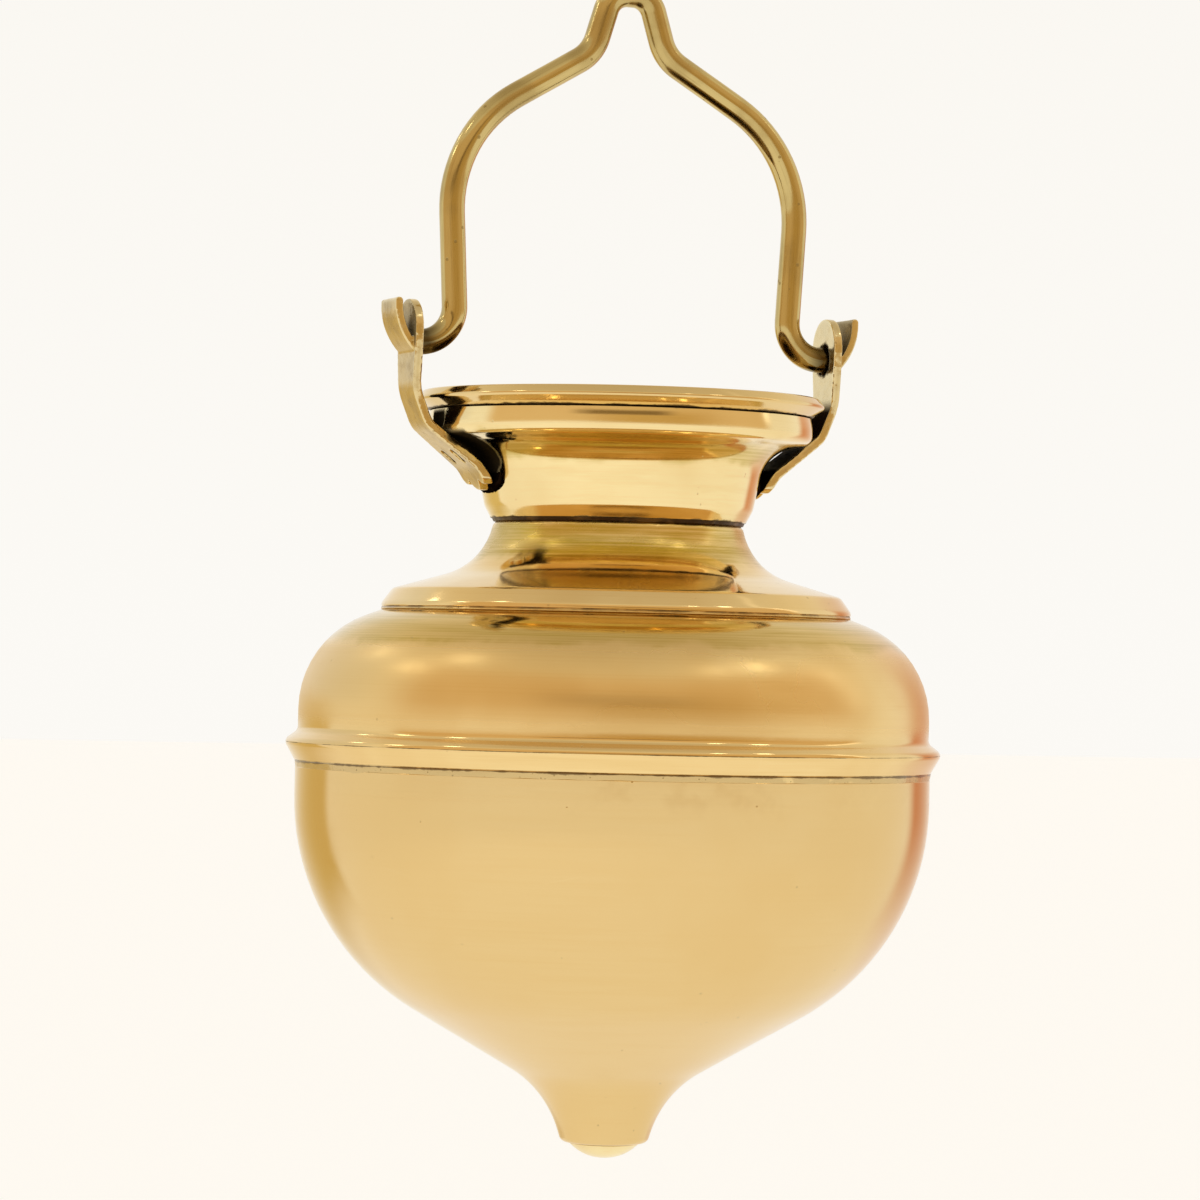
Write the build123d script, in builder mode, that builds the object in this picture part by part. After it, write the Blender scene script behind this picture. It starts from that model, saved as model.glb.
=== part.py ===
from build123d import *
import math
import os

os.makedirs("parts", exist_ok=True)

# Hanging drip vessel in brass: spun shells soldered together, two cast ears and a bent-rod bail.
# Millimetres. The origin is the inside of the bail's hanging notch, +Z is up, the ears lie along X.

# Bail
wire_diameter = 5.0
notch_half_width = 4.0
notch_bend = 4.6
crown_half_width = 7.6
crown_drop = 9.4
crown_bend = 8.3
shoulder_half_width = 36.6
shoulder_drop = 26.6
shoulder_bend = 26.0
leg_half_width = 34.4
hinge_drop = 67.4
hinge_bend = 7.0

# Mouth: a turned rim ring on the rolled edge of the collar
sheet = 1.2
seam_gap = 0.1
solder_height = 0.8
solder_stand = 0.15
rim_drop = 8.7
rim_radius = 40.1
rim_edge_drop = 1.8
rim_edge_bend = 0.6
rim_top_inset = 1.3
rim_top_bend = 0.9
ring_height = 3.7
ring_root_bend = 0.5
mouth_radius = 35.0
ring_spigot = 1.5
roll_radius = 37.6
roll_height = 5.0
roll_bend = 2.2

# Collar and neck
collar_height = 16.0
throat_radius = 28.6
throat_drop = 2.1
throat_bend = 8.0
lip_radius = 24.9
lip_flare = 1.4
lip_height = 2.6
lip_bend = 4.0
waist_radius = 24.5
sleeve_height = 4.0
neck_height = 14.0
flare_radius = 26.2
flare_bend = 13.0
ledge_radius = 45.9
ledge_depth = 3.7
ledge_set_in = 2.1
ledge_edge_drop = 0.8
ledge_slope = 0.29
ledge_bend = 1.5

# Dome and bowl
dome_slope = 0.38
dome_lip = 2.7
dome_height = 26.3
dome_bend = 19.6
dome_set_in = 0.4
ridge_stand = 2.3
ridge_rise = 2.0
ridge_root_bend = 1.5
ridge_bend = 1.3
skirt_drop = 3.9
body_radius = 62.0
bowl_depth = 73.4
bowl_swell_drop = 34.0
bowl_swell = 47.8
nose_radius = 11.6
nose_height = 10.0
nose_bend = 21.0
nose_end_radius = 8.5
nose_end_bend = 1.5

# Drip tip
tip_radius = 6.9
tip_height = 2.9
tip_dome_radius = 9.6
spigot_radius = 4.9
drip_bore = 2.0

# Ears
rim_to_ear = 2.6
strap_thickness = 1.7
strap_width = 9.5
plate_width = 11.6
plate_rise = 8.2
pin_clearance = 0.3
eye_boss = 1.2
eye_boss_radius = 4.6
eye_wall = 0.5
pin_end_gap = 0.4
pin_chamfer = 0.4
kink_drop = 9.4
kink_bend = 10.0
elbow_inset = 2.6
elbow_drop = 15.8
elbow_bend = 5.0
ankle_stand = 3.1
ankle_drop = 23.6
ankle_bend = 8.0
foot_drop = 26.0
foot_width = 12.0
leaf_thickness = 1.5
leaf_width = 9.6
leaf_reach = 3.8
leaf_bend = 12.6
leaf_tip_height = 1.2
toe_drop = 1.1
middle_toe_drop = 2.2
middle_toe_width = 5.6
groove_width = 1.8
groove_length = 3.8
groove_depth = 0.7
groove_setback = 3.8
braze_gap = 0.3
braze_top_drop = 24.8
braze_bead = 0.8
braze_margin = 0.9

# Bends: a corner left sharp, and the share of a straight run that its two bends may use up
sharp = 0.0
bend_share = 0.98

# Heights that follow, from the hanging notch down
z_hinge = -hinge_drop
z_rim = z_hinge - rim_drop
z_ring_seat = z_rim - ring_height
z_roll = z_ring_seat - roll_height
z_waist = z_roll - collar_height
z_ledge = z_waist - neck_height
z_ledge_foot = z_ledge - ledge_depth
z_ridge = z_ledge_foot - dome_height
z_seam = z_ridge - skirt_drop
z_floor = z_seam - bowl_depth

# Radii that follow
wire_radius = wire_diameter / 2
sleeve_radius = body_radius - sheet
neck_sleeve_radius = lip_radius - sheet - seam_gap
roll_inner_radius = roll_radius - sheet
ear_inner_radius = rim_radius + rim_to_ear
ear_radius = ear_inner_radius + strap_thickness / 2
ear_outer_radius = ear_inner_radius + strap_thickness
eye_bottom = ear_outer_radius - eye_wall


def fitted_radii(points, wanted):
    """Bend radii at the inner points of a line, shortened where two arcs would meet on one side."""
    corners = [Vector(*point) for point in points]
    sides = [after - before for before, after in zip(corners, corners[1:])]
    tangents = []
    for before, after in zip(sides, sides[1:]):
        tangents.append(math.tan(math.radians(before.get_angle(after)) / 2))
    reaches = [0.0] + [radius * tangent for radius, tangent in zip(wanted, tangents)] + [0.0]
    for index, side in enumerate(sides):
        taken = reaches[index] + reaches[index + 1]
        if taken > bend_share * side.length:
            reaches[index] *= bend_share * side.length / taken
            reaches[index + 1] *= bend_share * side.length / taken
    return [reach / tangent for reach, tangent in zip(reaches[1:-1], tangents)]


def bent_line(points, wanted, mode=Mode.ADD):
    """A line of straight runs with a tangent arc at each bend."""
    return FilletPolyline(points, radius=fitted_radii(points, wanted), mode=mode)


def sheet_wall(points, wanted):
    """The section of a spun wall: its outer line from the top down, thickened inwards."""
    outer = bent_line(points, wanted, mode=Mode.PRIVATE)
    offset(outer, amount=sheet, side=Side.RIGHT, mode=Mode.ADD)


def save(piece, name):
    """Name a finished piece and write it to its own file."""
    piece.part.label = name
    export_step(piece.part, f"parts/{name}.step")


# Rim ring: turned from solid, with a spigot that centres it in the collar's rolled edge
with BuildPart() as rim_ring:
    with BuildSketch(Plane.XZ):
        with BuildLine():
            FilletPolyline(
                (mouth_radius, z_ring_seat - ring_spigot),
                (roll_inner_radius - seam_gap, z_ring_seat - ring_spigot),
                (roll_inner_radius - seam_gap, z_ring_seat),
                (roll_radius - seam_gap, z_ring_seat),
                (rim_radius, z_rim - rim_edge_drop),
                (rim_radius - rim_top_inset, z_rim),
                (mouth_radius, z_rim),
                radius=[sharp, sharp, sharp, ring_root_bend, rim_edge_bend, rim_top_bend, sharp],
                close=True,
            )
        make_face()
    revolve(axis=Axis.Z)
save(rim_ring, "rim_ring")

# Collar: a short flared lip at the waist, a cone, the throat and the rolled edge under the rim ring
collar_line = [
    (roll_radius, z_ring_seat - seam_gap),
    (roll_radius, z_roll),
    (throat_radius, z_roll - throat_drop),
    (lip_radius + lip_flare, z_waist + lip_height),
    (lip_radius, z_waist),
]
collar_bends = [roll_bend, throat_bend, lip_bend]
with BuildPart() as collar:
    with BuildSketch(Plane.XZ):
        with BuildLine():
            sheet_wall(collar_line, collar_bends)
        make_face()
    revolve(axis=Axis.Z)
save(collar, "collar")

# Neck: a sleeve inside the collar's lip, the flare, and a ledge with a turned-down edge
ledge_crest = ledge_radius - ledge_set_in
flare_run = ledge_crest - flare_radius
neck_line = [
    (neck_sleeve_radius, z_waist + sleeve_height),
    (neck_sleeve_radius, z_waist - seam_gap),
    (waist_radius, z_waist - sheet),
    (flare_radius, z_ledge + ledge_slope * flare_run),
    (ledge_crest, z_ledge),
    (ledge_radius, z_ledge_foot + ledge_edge_drop),
    (ledge_radius, z_ledge_foot),
]
neck_bends = [sharp, sharp, flare_bend, ledge_bend, ledge_bend]
with BuildPart() as neck:
    with BuildSketch(Plane.XZ):
        with BuildLine():
            sheet_wall(neck_line, neck_bends)
        make_face()
    revolve(axis=Axis.Z)
save(neck, "neck")

# Shoulder dome: its lip lies under the ledge, its skirt has a raised ridge and laps over the bowl
dome_seat_radius = ledge_radius - sheet
dome_seat = z_ledge_foot - seam_gap
dome_side = body_radius - dome_set_in
dome_line = [
    (dome_seat_radius - dome_lip, dome_seat + dome_slope * dome_lip),
    (dome_side, dome_seat - dome_slope * (dome_side - dome_seat_radius)),
    (dome_side, z_ridge + ridge_rise),
    (body_radius + ridge_stand, z_ridge),
    (body_radius + seam_gap, z_seam),
]
dome_bends = [dome_bend, ridge_root_bend, ridge_bend]
with BuildPart() as shoulder_dome:
    with BuildSketch(Plane.XZ):
        with BuildLine():
            sheet_wall(dome_line, dome_bends)
        make_face()
    revolve(axis=Axis.Z)
save(shoulder_dome, "shoulder_dome")

# Lower bowl: a sleeve that goes up inside the skirt, a joggle, the round swell and the nose
bowl_line = [
    (sleeve_radius, z_seam + sleeve_height),
    (sleeve_radius, z_seam - seam_gap),
    (body_radius, z_seam - sheet - seam_gap),
    (body_radius, z_seam - bowl_swell_drop),
    (nose_radius, z_floor + nose_height),
    (nose_end_radius, z_floor),
    (spigot_radius + seam_gap, z_floor),
]
bowl_bends = [sharp, sharp, bowl_swell, nose_bend, nose_end_bend]
with BuildPart() as lower_bowl:
    with BuildSketch(Plane.XZ):
        with BuildLine():
            sheet_wall(bowl_line, bowl_bends)
        make_face()
    revolve(axis=Axis.Z)
save(lower_bowl, "lower_bowl")

# Drip tip: a domed button on a spigot through the nose's floor, bored for the drip
z_tip_top = z_floor - seam_gap
z_tip = z_tip_top - tip_height
with BuildPart() as drip_tip:
    with BuildSketch(Plane.XZ):
        with BuildLine():
            Polyline(
                (drip_bore / 2, z_tip),
                (drip_bore / 2, z_floor + sheet),
                (spigot_radius, z_floor + sheet),
                (spigot_radius, z_tip_top),
                (tip_radius, z_tip_top),
            )
            RadiusArc((tip_radius, z_tip_top), (drip_bore / 2, z_tip), tip_dome_radius)
        make_face()
    revolve(axis=Axis.Z)
save(drip_tip, "drip_tip")

# Ears: a cast strap from a three-toed foot on the collar up to the eye plate, and a leaf behind it
collar_top = Vector(*collar_line[2])
collar_bottom = Vector(*collar_line[3])
collar_taper = (collar_top.X - collar_bottom.X) / (collar_top.Y - collar_bottom.Y)


def collar_radius(z):
    """Outer radius of the collar's cone at a height."""
    return collar_bottom.X + collar_taper * (z - collar_bottom.Y)


z_plate_top = z_hinge + plate_rise
z_arch = z_plate_top - plate_width / 2
z_kink = z_hinge - kink_drop
z_elbow = z_hinge - elbow_drop
z_ankle = z_hinge - ankle_drop
z_toes = z_hinge - foot_drop
z_strap_end = z_toes - middle_toe_drop
side_toe_width = (foot_width - middle_toe_width) / 2
side_toe = (middle_toe_width + side_toe_width) / 2
toes = (
    (-side_toe, side_toe_width, toe_drop),
    (0, middle_toe_width, middle_toe_drop),
    (side_toe, side_toe_width, toe_drop),
)
elbow_radius = ear_radius - elbow_inset
ankle_radius = collar_radius(z_ankle) + ankle_stand
end_radius = collar_radius(z_strap_end) + braze_gap + strap_thickness / 2
strap_line = [
    (ear_radius, z_plate_top + strap_thickness),
    (ear_radius, z_kink),
    (elbow_radius, z_elbow),
    (ankle_radius, z_ankle),
    (end_radius, z_strap_end),
]
strap_bends = [kink_bend, elbow_bend, ankle_bend]
with BuildPart() as strap:
    with BuildSketch(Plane.XZ):
        with BuildLine():
            strap_centre = bent_line(strap_line, strap_bends, mode=Mode.PRIVATE)
            offset(strap_centre, amount=strap_thickness / 2, side=Side.BOTH, mode=Mode.ADD)
        make_face()
    extrude(amount=foot_width, both=True)
    with BuildSketch(Plane.YZ):
        with BuildLine():
            CenterArc((0, z_arch), plate_width / 2, 0, 180)
            strap_side = Spline(
                (plate_width / 2, z_arch),
                (strap_width / 2, z_kink),
                (strap_width / 2, z_elbow),
                (foot_width / 2, z_toes),
                tangents=((0, -1), (0, -1)),
            )
            mirror(strap_side, about=Plane.YZ)
            for toe, width, drop in toes:
                ThreePointArc((toe - width / 2, z_toes), (toe, z_toes - drop), (toe + width / 2, z_toes))
        make_face()
    extrude(amount=2 * ear_radius, mode=Mode.INTERSECT)

# Leaf: an arc of sheet that springs from the strap's outer face at the eye and ends in a flat top
leaf_centre_bend = leaf_bend - leaf_thickness / 2
leaf_arc_centre = ear_outer_radius + leaf_reach - leaf_bend
leaf_root_drop = math.sqrt(leaf_centre_bend**2 - (ear_radius - leaf_arc_centre) ** 2)
leaf_side = leaf_arc_centre + leaf_centre_bend
z_leaf_side = z_plate_top - leaf_tip_height
with BuildPart() as leaf:
    with BuildSketch(Plane.XZ):
        with BuildLine():
            with BuildLine(mode=Mode.PRIVATE) as leaf_centre:
                root = (ear_radius, z_leaf_side - leaf_root_drop)
                leaf_arc = RadiusArc(root, (leaf_side, z_leaf_side), -leaf_centre_bend)
                Line(leaf_arc @ 1, (leaf_side, z_plate_top - leaf_thickness / 2))
            offset(leaf_centre.line, amount=leaf_thickness / 2, side=Side.BOTH, mode=Mode.ADD)
        make_face()
    extrude(amount=leaf_width / 2, both=True)

# The saddle is what the foot stands clear of: the collar's cone and the braze under the foot
with BuildPart() as saddle:
    with BuildSketch(Plane.XZ):
        with BuildLine():
            Polyline(
                (0, z_roll),
                (collar_radius(z_roll) + braze_gap, z_roll),
                (collar_radius(z_waist) + braze_gap, z_waist),
                (0, z_waist),
                close=True,
            )
        make_face()
    revolve(axis=Axis.Z)

# The grooves between the toes are cut square to the slanted part of the foot
slant = Vector(ankle_radius - elbow_radius, z_ankle - z_elbow).normalized()
groove_middle = Vector(ankle_radius, z_ankle) - slant * groove_setback
foot_plane = Plane(
    origin=(groove_middle.X + slant.Y * -strap_thickness / 2, 0, groove_middle.Y + slant.X * strap_thickness / 2),
    x_dir=(slant.X, 0, slant.Y),
    z_dir=(-slant.Y, 0, slant.X),
)
with BuildPart() as right_ear:
    add(strap.part)
    add(leaf.part)
    add(saddle.part, mode=Mode.SUBTRACT)
    with BuildSketch(foot_plane):
        with Locations((0, -middle_toe_width / 2), (0, middle_toe_width / 2)):
            SlotOverall(groove_length, groove_width)
    extrude(amount=-groove_depth, mode=Mode.SUBTRACT)
    with BuildSketch(Plane.YZ.offset(ear_inner_radius)):
        with Locations((0, z_hinge)):
            Circle(eye_boss_radius)
    extrude(amount=-eye_boss)
    with BuildSketch(Plane.YZ.offset(eye_bottom)):
        with Locations((0, z_hinge)):
            Circle(wire_radius + pin_clearance)
    extrude(amount=-2 * (strap_thickness + eye_boss), mode=Mode.SUBTRACT)
save(right_ear, "right_ear")

with BuildPart() as left_ear:
    mirror(right_ear.part, about=Plane.YZ)
save(left_ear, "left_ear")

# Ear brazes: the metal under each foot and the bead that stands round it on the collar
z_braze_top = z_hinge - braze_top_drop
z_braze = (z_toes + z_braze_top) / 2
with BuildPart() as right_ear_braze:
    with BuildSketch(Plane.XZ):
        with BuildLine():
            Polyline(
                (collar_radius(z_braze_top) + seam_gap / 4, z_braze_top),
                (collar_radius(z_braze_top) + braze_bead / 2, z_braze_top),
                (collar_radius(z_toes) + braze_bead, z_toes - toe_drop),
                (collar_radius(z_strap_end) + seam_gap / 4, z_strap_end - braze_margin),
                close=True,
            )
        make_face()
    revolve(axis=Axis.Z)
    with BuildSketch(Plane.YZ):
        with Locations((0, z_braze)):
            Ellipse(foot_width / 2 + braze_margin, z_braze - z_strap_end + braze_margin)
    extrude(amount=2 * ear_radius, mode=Mode.INTERSECT)
    add(right_ear.part, mode=Mode.SUBTRACT)
save(right_ear_braze, "right_ear_braze")

with BuildPart() as left_ear_braze:
    mirror(right_ear_braze.part, about=Plane.YZ)
save(left_ear_braze, "left_ear_braze")

# Bail: one rod from eye to eye, bent up into two shoulders and the hanging notch
pin_end = eye_bottom - pin_end_gap
half_route = [
    (notch_half_width, wire_radius),
    (crown_half_width, -crown_drop),
    (shoulder_half_width, -shoulder_drop),
    (leg_half_width, z_hinge),
    (pin_end, z_hinge),
]
half_bends = [notch_bend, crown_bend, shoulder_bend, hinge_bend]
route = [(-x, z) for x, z in reversed(half_route)] + half_route
route_bends = half_bends[::-1] + half_bends
with BuildPart() as bail:
    with BuildLine(Plane.XZ) as bail_line:
        bent_line(route, route_bends)
    with BuildSketch(Plane(bail_line.line @ 0, z_dir=bail_line.line % 0)):
        Circle(wire_radius)
    sweep()
    pin_faces = bail.faces().filter_by(Axis.X).sort_by(Axis.X)
    chamfer([pin_faces[0].edges(), pin_faces[-1].edges()], pin_chamfer)
save(bail, "bail")


def fill_seam(points, neighbours):
    """Solder that fills a ring of this section as far as the pieces beside it leave it free."""
    with BuildSketch(Plane.XZ) as ring:
        with BuildLine():
            Polyline(*points, close=True)
        make_face()
    revolve(ring.sketch, axis=Axis.Z)
    for neighbour in neighbours:
        add(neighbour.part, mode=Mode.SUBTRACT)


# Solder in the seams: under the skirt, under the ledge, at the waist and round the drip tip
with BuildPart() as body_solder:
    fill_seam(
        [
            (sleeve_radius + seam_gap, z_seam + solder_height),
            (body_radius + seam_gap, z_seam + solder_height),
            (body_radius + solder_stand, z_seam - seam_gap),
            (body_radius, z_seam - solder_height),
            (sleeve_radius + seam_gap, z_seam - solder_height),
        ],
        [shoulder_dome, lower_bowl],
    )
save(body_solder, "body_solder")

with BuildPart() as ledge_solder:
    fill_seam(
        [
            (dome_seat_radius + seam_gap, z_ledge_foot + seam_gap),
            (ledge_radius + seam_gap, z_ledge_foot + seam_gap),
            (ledge_radius + solder_height, z_ledge_foot - solder_height),
            (dome_seat_radius + seam_gap, z_ledge_foot - solder_height),
        ],
        [neck, shoulder_dome],
    )
save(ledge_solder, "ledge_solder")

with BuildPart() as waist_solder:
    fill_seam(
        [
            (neck_sleeve_radius + seam_gap / 2, z_waist + solder_height),
            (lip_radius, z_waist + seam_gap),
            (waist_radius + solder_stand, z_waist - seam_gap),
            (waist_radius, z_waist - solder_height),
            (neck_sleeve_radius + seam_gap / 2, z_waist - solder_height),
        ],
        [collar, neck],
    )
save(waist_solder, "waist_solder")

with BuildPart() as tip_solder:
    fill_seam(
        [
            (spigot_radius - solder_height, z_floor + sheet),
            (spigot_radius + solder_height, z_floor + sheet),
            (spigot_radius + seam_gap / 2, z_floor + sheet + solder_height),
        ],
        [lower_bowl, drip_tip],
    )
save(tip_solder, "tip_solder")
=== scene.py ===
"""Looks of a hanging brass drip vessel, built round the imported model, in metres and in the model's frame."""

import logging
import math
from collections.abc import Callable, Sequence
from dataclasses import dataclass
from enum import Enum

import bmesh
import bpy
import numpy as np
from mathutils import Matrix, Vector, noise

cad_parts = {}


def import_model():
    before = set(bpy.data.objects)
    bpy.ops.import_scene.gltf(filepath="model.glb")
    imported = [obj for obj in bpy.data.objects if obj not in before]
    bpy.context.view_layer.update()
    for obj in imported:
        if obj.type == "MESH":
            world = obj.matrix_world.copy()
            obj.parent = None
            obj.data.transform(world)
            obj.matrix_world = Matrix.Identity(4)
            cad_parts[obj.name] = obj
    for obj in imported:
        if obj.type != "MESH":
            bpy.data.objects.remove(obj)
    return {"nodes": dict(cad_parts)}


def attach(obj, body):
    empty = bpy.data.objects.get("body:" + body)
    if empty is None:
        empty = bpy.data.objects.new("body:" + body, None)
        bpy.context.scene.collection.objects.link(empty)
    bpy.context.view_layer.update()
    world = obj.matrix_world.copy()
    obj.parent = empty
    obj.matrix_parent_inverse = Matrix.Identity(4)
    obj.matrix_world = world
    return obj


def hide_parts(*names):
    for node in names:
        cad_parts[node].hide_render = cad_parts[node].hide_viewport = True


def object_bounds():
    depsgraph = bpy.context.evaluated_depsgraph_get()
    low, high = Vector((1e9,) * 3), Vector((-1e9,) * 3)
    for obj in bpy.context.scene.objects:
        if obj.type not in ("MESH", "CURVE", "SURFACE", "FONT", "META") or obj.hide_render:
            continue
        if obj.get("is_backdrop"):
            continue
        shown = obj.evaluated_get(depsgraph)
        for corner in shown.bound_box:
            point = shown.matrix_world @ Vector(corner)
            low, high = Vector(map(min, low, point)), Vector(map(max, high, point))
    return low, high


MM = 0.001
log = logging.getLogger("drip_vessel")

Colour = tuple[float, float, float, float]
SHARP = 0.0
SET_CENTRE = Vector((0.0, 0.0, -0.13))
WELD_REACH = 0.001 * MM
EYE_REACH = 6.0 * MM
DENT_DEPTH = 0.035 * MM
DENTS_PER_METRE = 110
SWELLS_PER_METRE = 420
GRAINS_PER_METRE = 1300


class Side(Enum):
    """Which face of a spun wall a stretch of its section belongs to."""

    OUTSIDE = 0
    INSIDE = 1


class Body(Enum):
    """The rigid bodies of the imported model."""

    BAIL = "bail"
    VESSEL = "vessel"


@dataclass(frozen=True)
class Levels:
    """Heights of the vessel's joints, in millimetres below the hanging notch."""

    hinge: float = -67.4
    ring_seat: float = -79.8
    roll: float = -84.8
    waist: float = -100.8
    ledge_foot: float = -118.5
    ridge: float = -144.8
    seam: float = -148.7


@dataclass(frozen=True)
class BentLine:
    """A line of straight runs in the plane of radius and height, with a tangent arc at each bend.

    Sizes are millimetres, and the points that come out of it are metres.
    """

    corners: tuple[tuple[float, float], ...]
    bends: tuple[float, ...]
    closed: bool = False
    arc_step: float = math.radians(7)
    stride: float = 2.4
    share: float = 0.98

    def _reaches(self, turns: Sequence[float], lengths: Sequence[float]) -> list[float]:
        """How far each bend's arc reaches along its two runs, shortened where two arcs would meet.

        Args:
            turns: The angle turned at each corner, 0 at the ends of an open line.
            lengths: The length of each run, run i starting at corner i.

        Returns:
            One reach for each corner.
        """
        bends = list(self.bends) if self.closed else [SHARP, *self.bends, SHARP]
        reaches = [bend * math.tan(turn / 2) for bend, turn in zip(bends, turns)]
        for index, length in enumerate(lengths):
            after = (index + 1) % len(reaches)
            taken = reaches[index] + reaches[after]
            if taken > self.share * length:
                reaches[index] *= self.share * length / taken
                reaches[after] *= self.share * length / taken
        return reaches

    def points(self) -> list[Vector]:
        """The line's points, close together on its arcs.

        Returns:
            Points as (radius, height) in metres.
        """
        corners = [Vector(corner) for corner in self.corners]
        count = len(corners)
        runs = count if self.closed else count - 1
        sides = [corners[(i + 1) % count] - corners[i] for i in range(runs)]
        turns = []
        for i in range(count):
            if not self.closed and i in (0, count - 1):
                turns.append(SHARP)
            else:
                turns.append(sides[i - 1].angle(sides[i]))
        reaches = self._reaches(turns, [side.length for side in sides])
        path: list[Vector] = []
        for i, corner in enumerate(corners):
            if reaches[i] <= 0:
                path.append(corner)
                continue
            before, after = sides[i - 1].normalized(), sides[i].normalized()
            start, end = corner - before * reaches[i], corner + after * reaches[i]
            radius = reaches[i] / math.tan(turns[i] / 2)
            inward = (after - before).normalized()
            centre = corner + inward * radius / math.cos(turns[i] / 2)
            steps = max(2, math.ceil(turns[i] / self.arc_step))
            first, last = start - centre, end - centre
            sense = 1 if first.x * last.y - first.y * last.x > 0 else -1
            for step in range(steps + 1):
                swing = Matrix.Rotation(sense * turns[i] * step / steps, 2)
                path.append(centre + swing @ first)
        return self._divided(path)

    def _divided(self, path: list[Vector]) -> list[Vector]:
        """The path with its long runs cut into strides, in metres."""
        divided: list[Vector] = []
        runs = len(path) if self.closed else len(path) - 1
        for i in range(runs):
            here, there = path[i], path[(i + 1) % len(path)]
            pieces = max(1, math.ceil((there - here).length / self.stride))
            divided.extend(here.lerp(there, piece / pieces) * MM for piece in range(pieces))
        if not self.closed:
            divided.append(path[-1] * MM)
        return divided


def wall_section(outer: Sequence[Vector], sheet: float, ease: float) -> list[tuple[Vector, Side]]:
    """The closed section of a spun wall with eased edges.

    Args:
        outer: The outer line from the top down, in metres.
        sheet: Thickness of the wall, in metres.
        ease: How much its two cut edges are rounded off, in metres.

    Returns:
        The section's points in order, each with the face that it lies on.
    """
    inner = []
    for i, point in enumerate(outer):
        before = (point - outer[i - 1]).normalized() if i else (outer[1] - point).normalized()
        after = (outer[i + 1] - point).normalized() if i < len(outer) - 1 else before
        normal = Vector((before.y, -before.x)) + Vector((after.y, -after.x))
        normal.normalize()
        inner.append(point + normal * sheet / max(0.5, normal.dot(Vector((before.y, -before.x)))))
    outer_line, inner_line = list(outer), inner
    for end, neighbour in ((0, 1), (-1, -2)):
        along = (outer_line[neighbour] - outer_line[end]).normalized() * ease
        across = (inner_line[end] - outer_line[end]).normalized() * ease
        outer_edge = [outer_line[end] + across, outer_line[end] + along]
        inner_edge = [inner_line[end] - across, inner_line[end] + along]
        if end == 0:
            outer_line[0:1] = outer_edge
            inner_line[0:1] = inner_edge
        else:
            outer_line[-1:] = reversed(outer_edge)
            inner_line[-1:] = reversed(inner_edge)
    section = [(point, Side.OUTSIDE) for point in outer_line]
    section += [(point, Side.INSIDE) for point in reversed(inner_line)]
    return section


@dataclass(frozen=True)
class HandWork:
    """Small unevenness of hand-finished metal: how far it strays and how often round and along the piece."""

    stray: float = 0.05 * MM
    round_count: float = 1.6
    along: float = 60.0
    seed: float = 0.0

    def at(self, angle: float, height: float) -> float:
        """How far the surface strays outward at an angle round the axis and a height."""
        across, deep = math.cos(angle) * self.round_count, math.sin(angle) * self.round_count
        return self.stray * noise.noise(Vector((across, deep + self.seed, height * self.along)))


def spoke(turn: float, rise: float) -> Vector:
    """The direction at a turn round the vessel and a rise over the level, both in degrees."""
    turn, rise = math.radians(turn), math.radians(rise)
    return Vector((math.cos(turn) * math.cos(rise), math.sin(turn) * math.cos(rise), math.sin(rise)))


def add_piece(name: str, mesh: bpy.types.Mesh) -> bpy.types.Object:
    """Put a mesh in the scene under a name.

    Args:
        name: The piece's name.
        mesh: Its mesh.

    Returns:
        The new object.
    """
    piece = bpy.data.objects.new(name, mesh)
    bpy.context.scene.collection.objects.link(piece)
    return piece


def stand_in(mesh: bpy.types.Mesh, node: str, body: Body, slot: str) -> bpy.types.Object:
    """Put a mesh in the scene in place of one of the model's nodes.

    Args:
        mesh: The mesh, whose name the piece takes.
        node: The node that it replaces.
        body: The body that it rides on.
        slot: The name of a material slot; not used.

    Returns:
        The new piece.
    """
    piece = add_piece(mesh.name, mesh)
    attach(piece, body.value)
    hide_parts(node)
    return piece


def finish_mesh(mesh: bpy.types.Mesh, crease: float = math.radians(38)) -> bpy.types.Mesh:
    """Turn a mesh's faces outward and shade it smooth except across its creases.

    Args:
        mesh: The mesh.
        crease: The angle from which an edge stays sharp.

    Returns:
        The same mesh.
    """
    turned = bmesh.new()
    turned.from_mesh(mesh)
    bmesh.ops.recalc_face_normals(turned, faces=turned.faces)
    turned.to_mesh(mesh)
    turned.free()
    mesh.polygons.foreach_set("use_smooth", [True] * len(mesh.polygons))
    mesh.set_sharp_from_angle(angle=crease)
    mesh.update()
    return mesh


def spun_mesh(
    name: str, section: Sequence[tuple[Vector, Side]], work: HandWork, segments: int = 192
) -> bpy.types.Mesh:
    """Revolve a closed section round the vessel's axis.

    Args:
        name: The mesh's name.
        section: Points as (radius, height) with the face that each lies on.
        work: The unevenness left by the spinner's hand.
        segments: Steps round the axis.

    Returns:
        The mesh, with material slot 0 outside and slot 1 inside.
    """
    mesh = bpy.data.meshes.new(name)
    verts, faces, slots = [], [], []
    count = len(section)
    for step in range(segments):
        angle = math.tau * step / segments
        for point, _ in section:
            radius = point.x + work.at(angle, point.y)
            verts.append((radius * math.cos(angle), radius * math.sin(angle), point.y))
    for step in range(segments):
        here, there = step * count, (step + 1) % segments * count
        for i in range(count):
            j = (i + 1) % count
            faces.append((here + i, here + j, there + j, there + i))
            inside = section[i][1] is Side.INSIDE and section[j][1] is Side.INSIDE
            slots.append(Side.INSIDE.value if inside else Side.OUTSIDE.value)
    mesh.from_pydata(verts, [], faces)
    mesh.polygons.foreach_set("material_index", slots)
    return finish_mesh(mesh)


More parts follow.
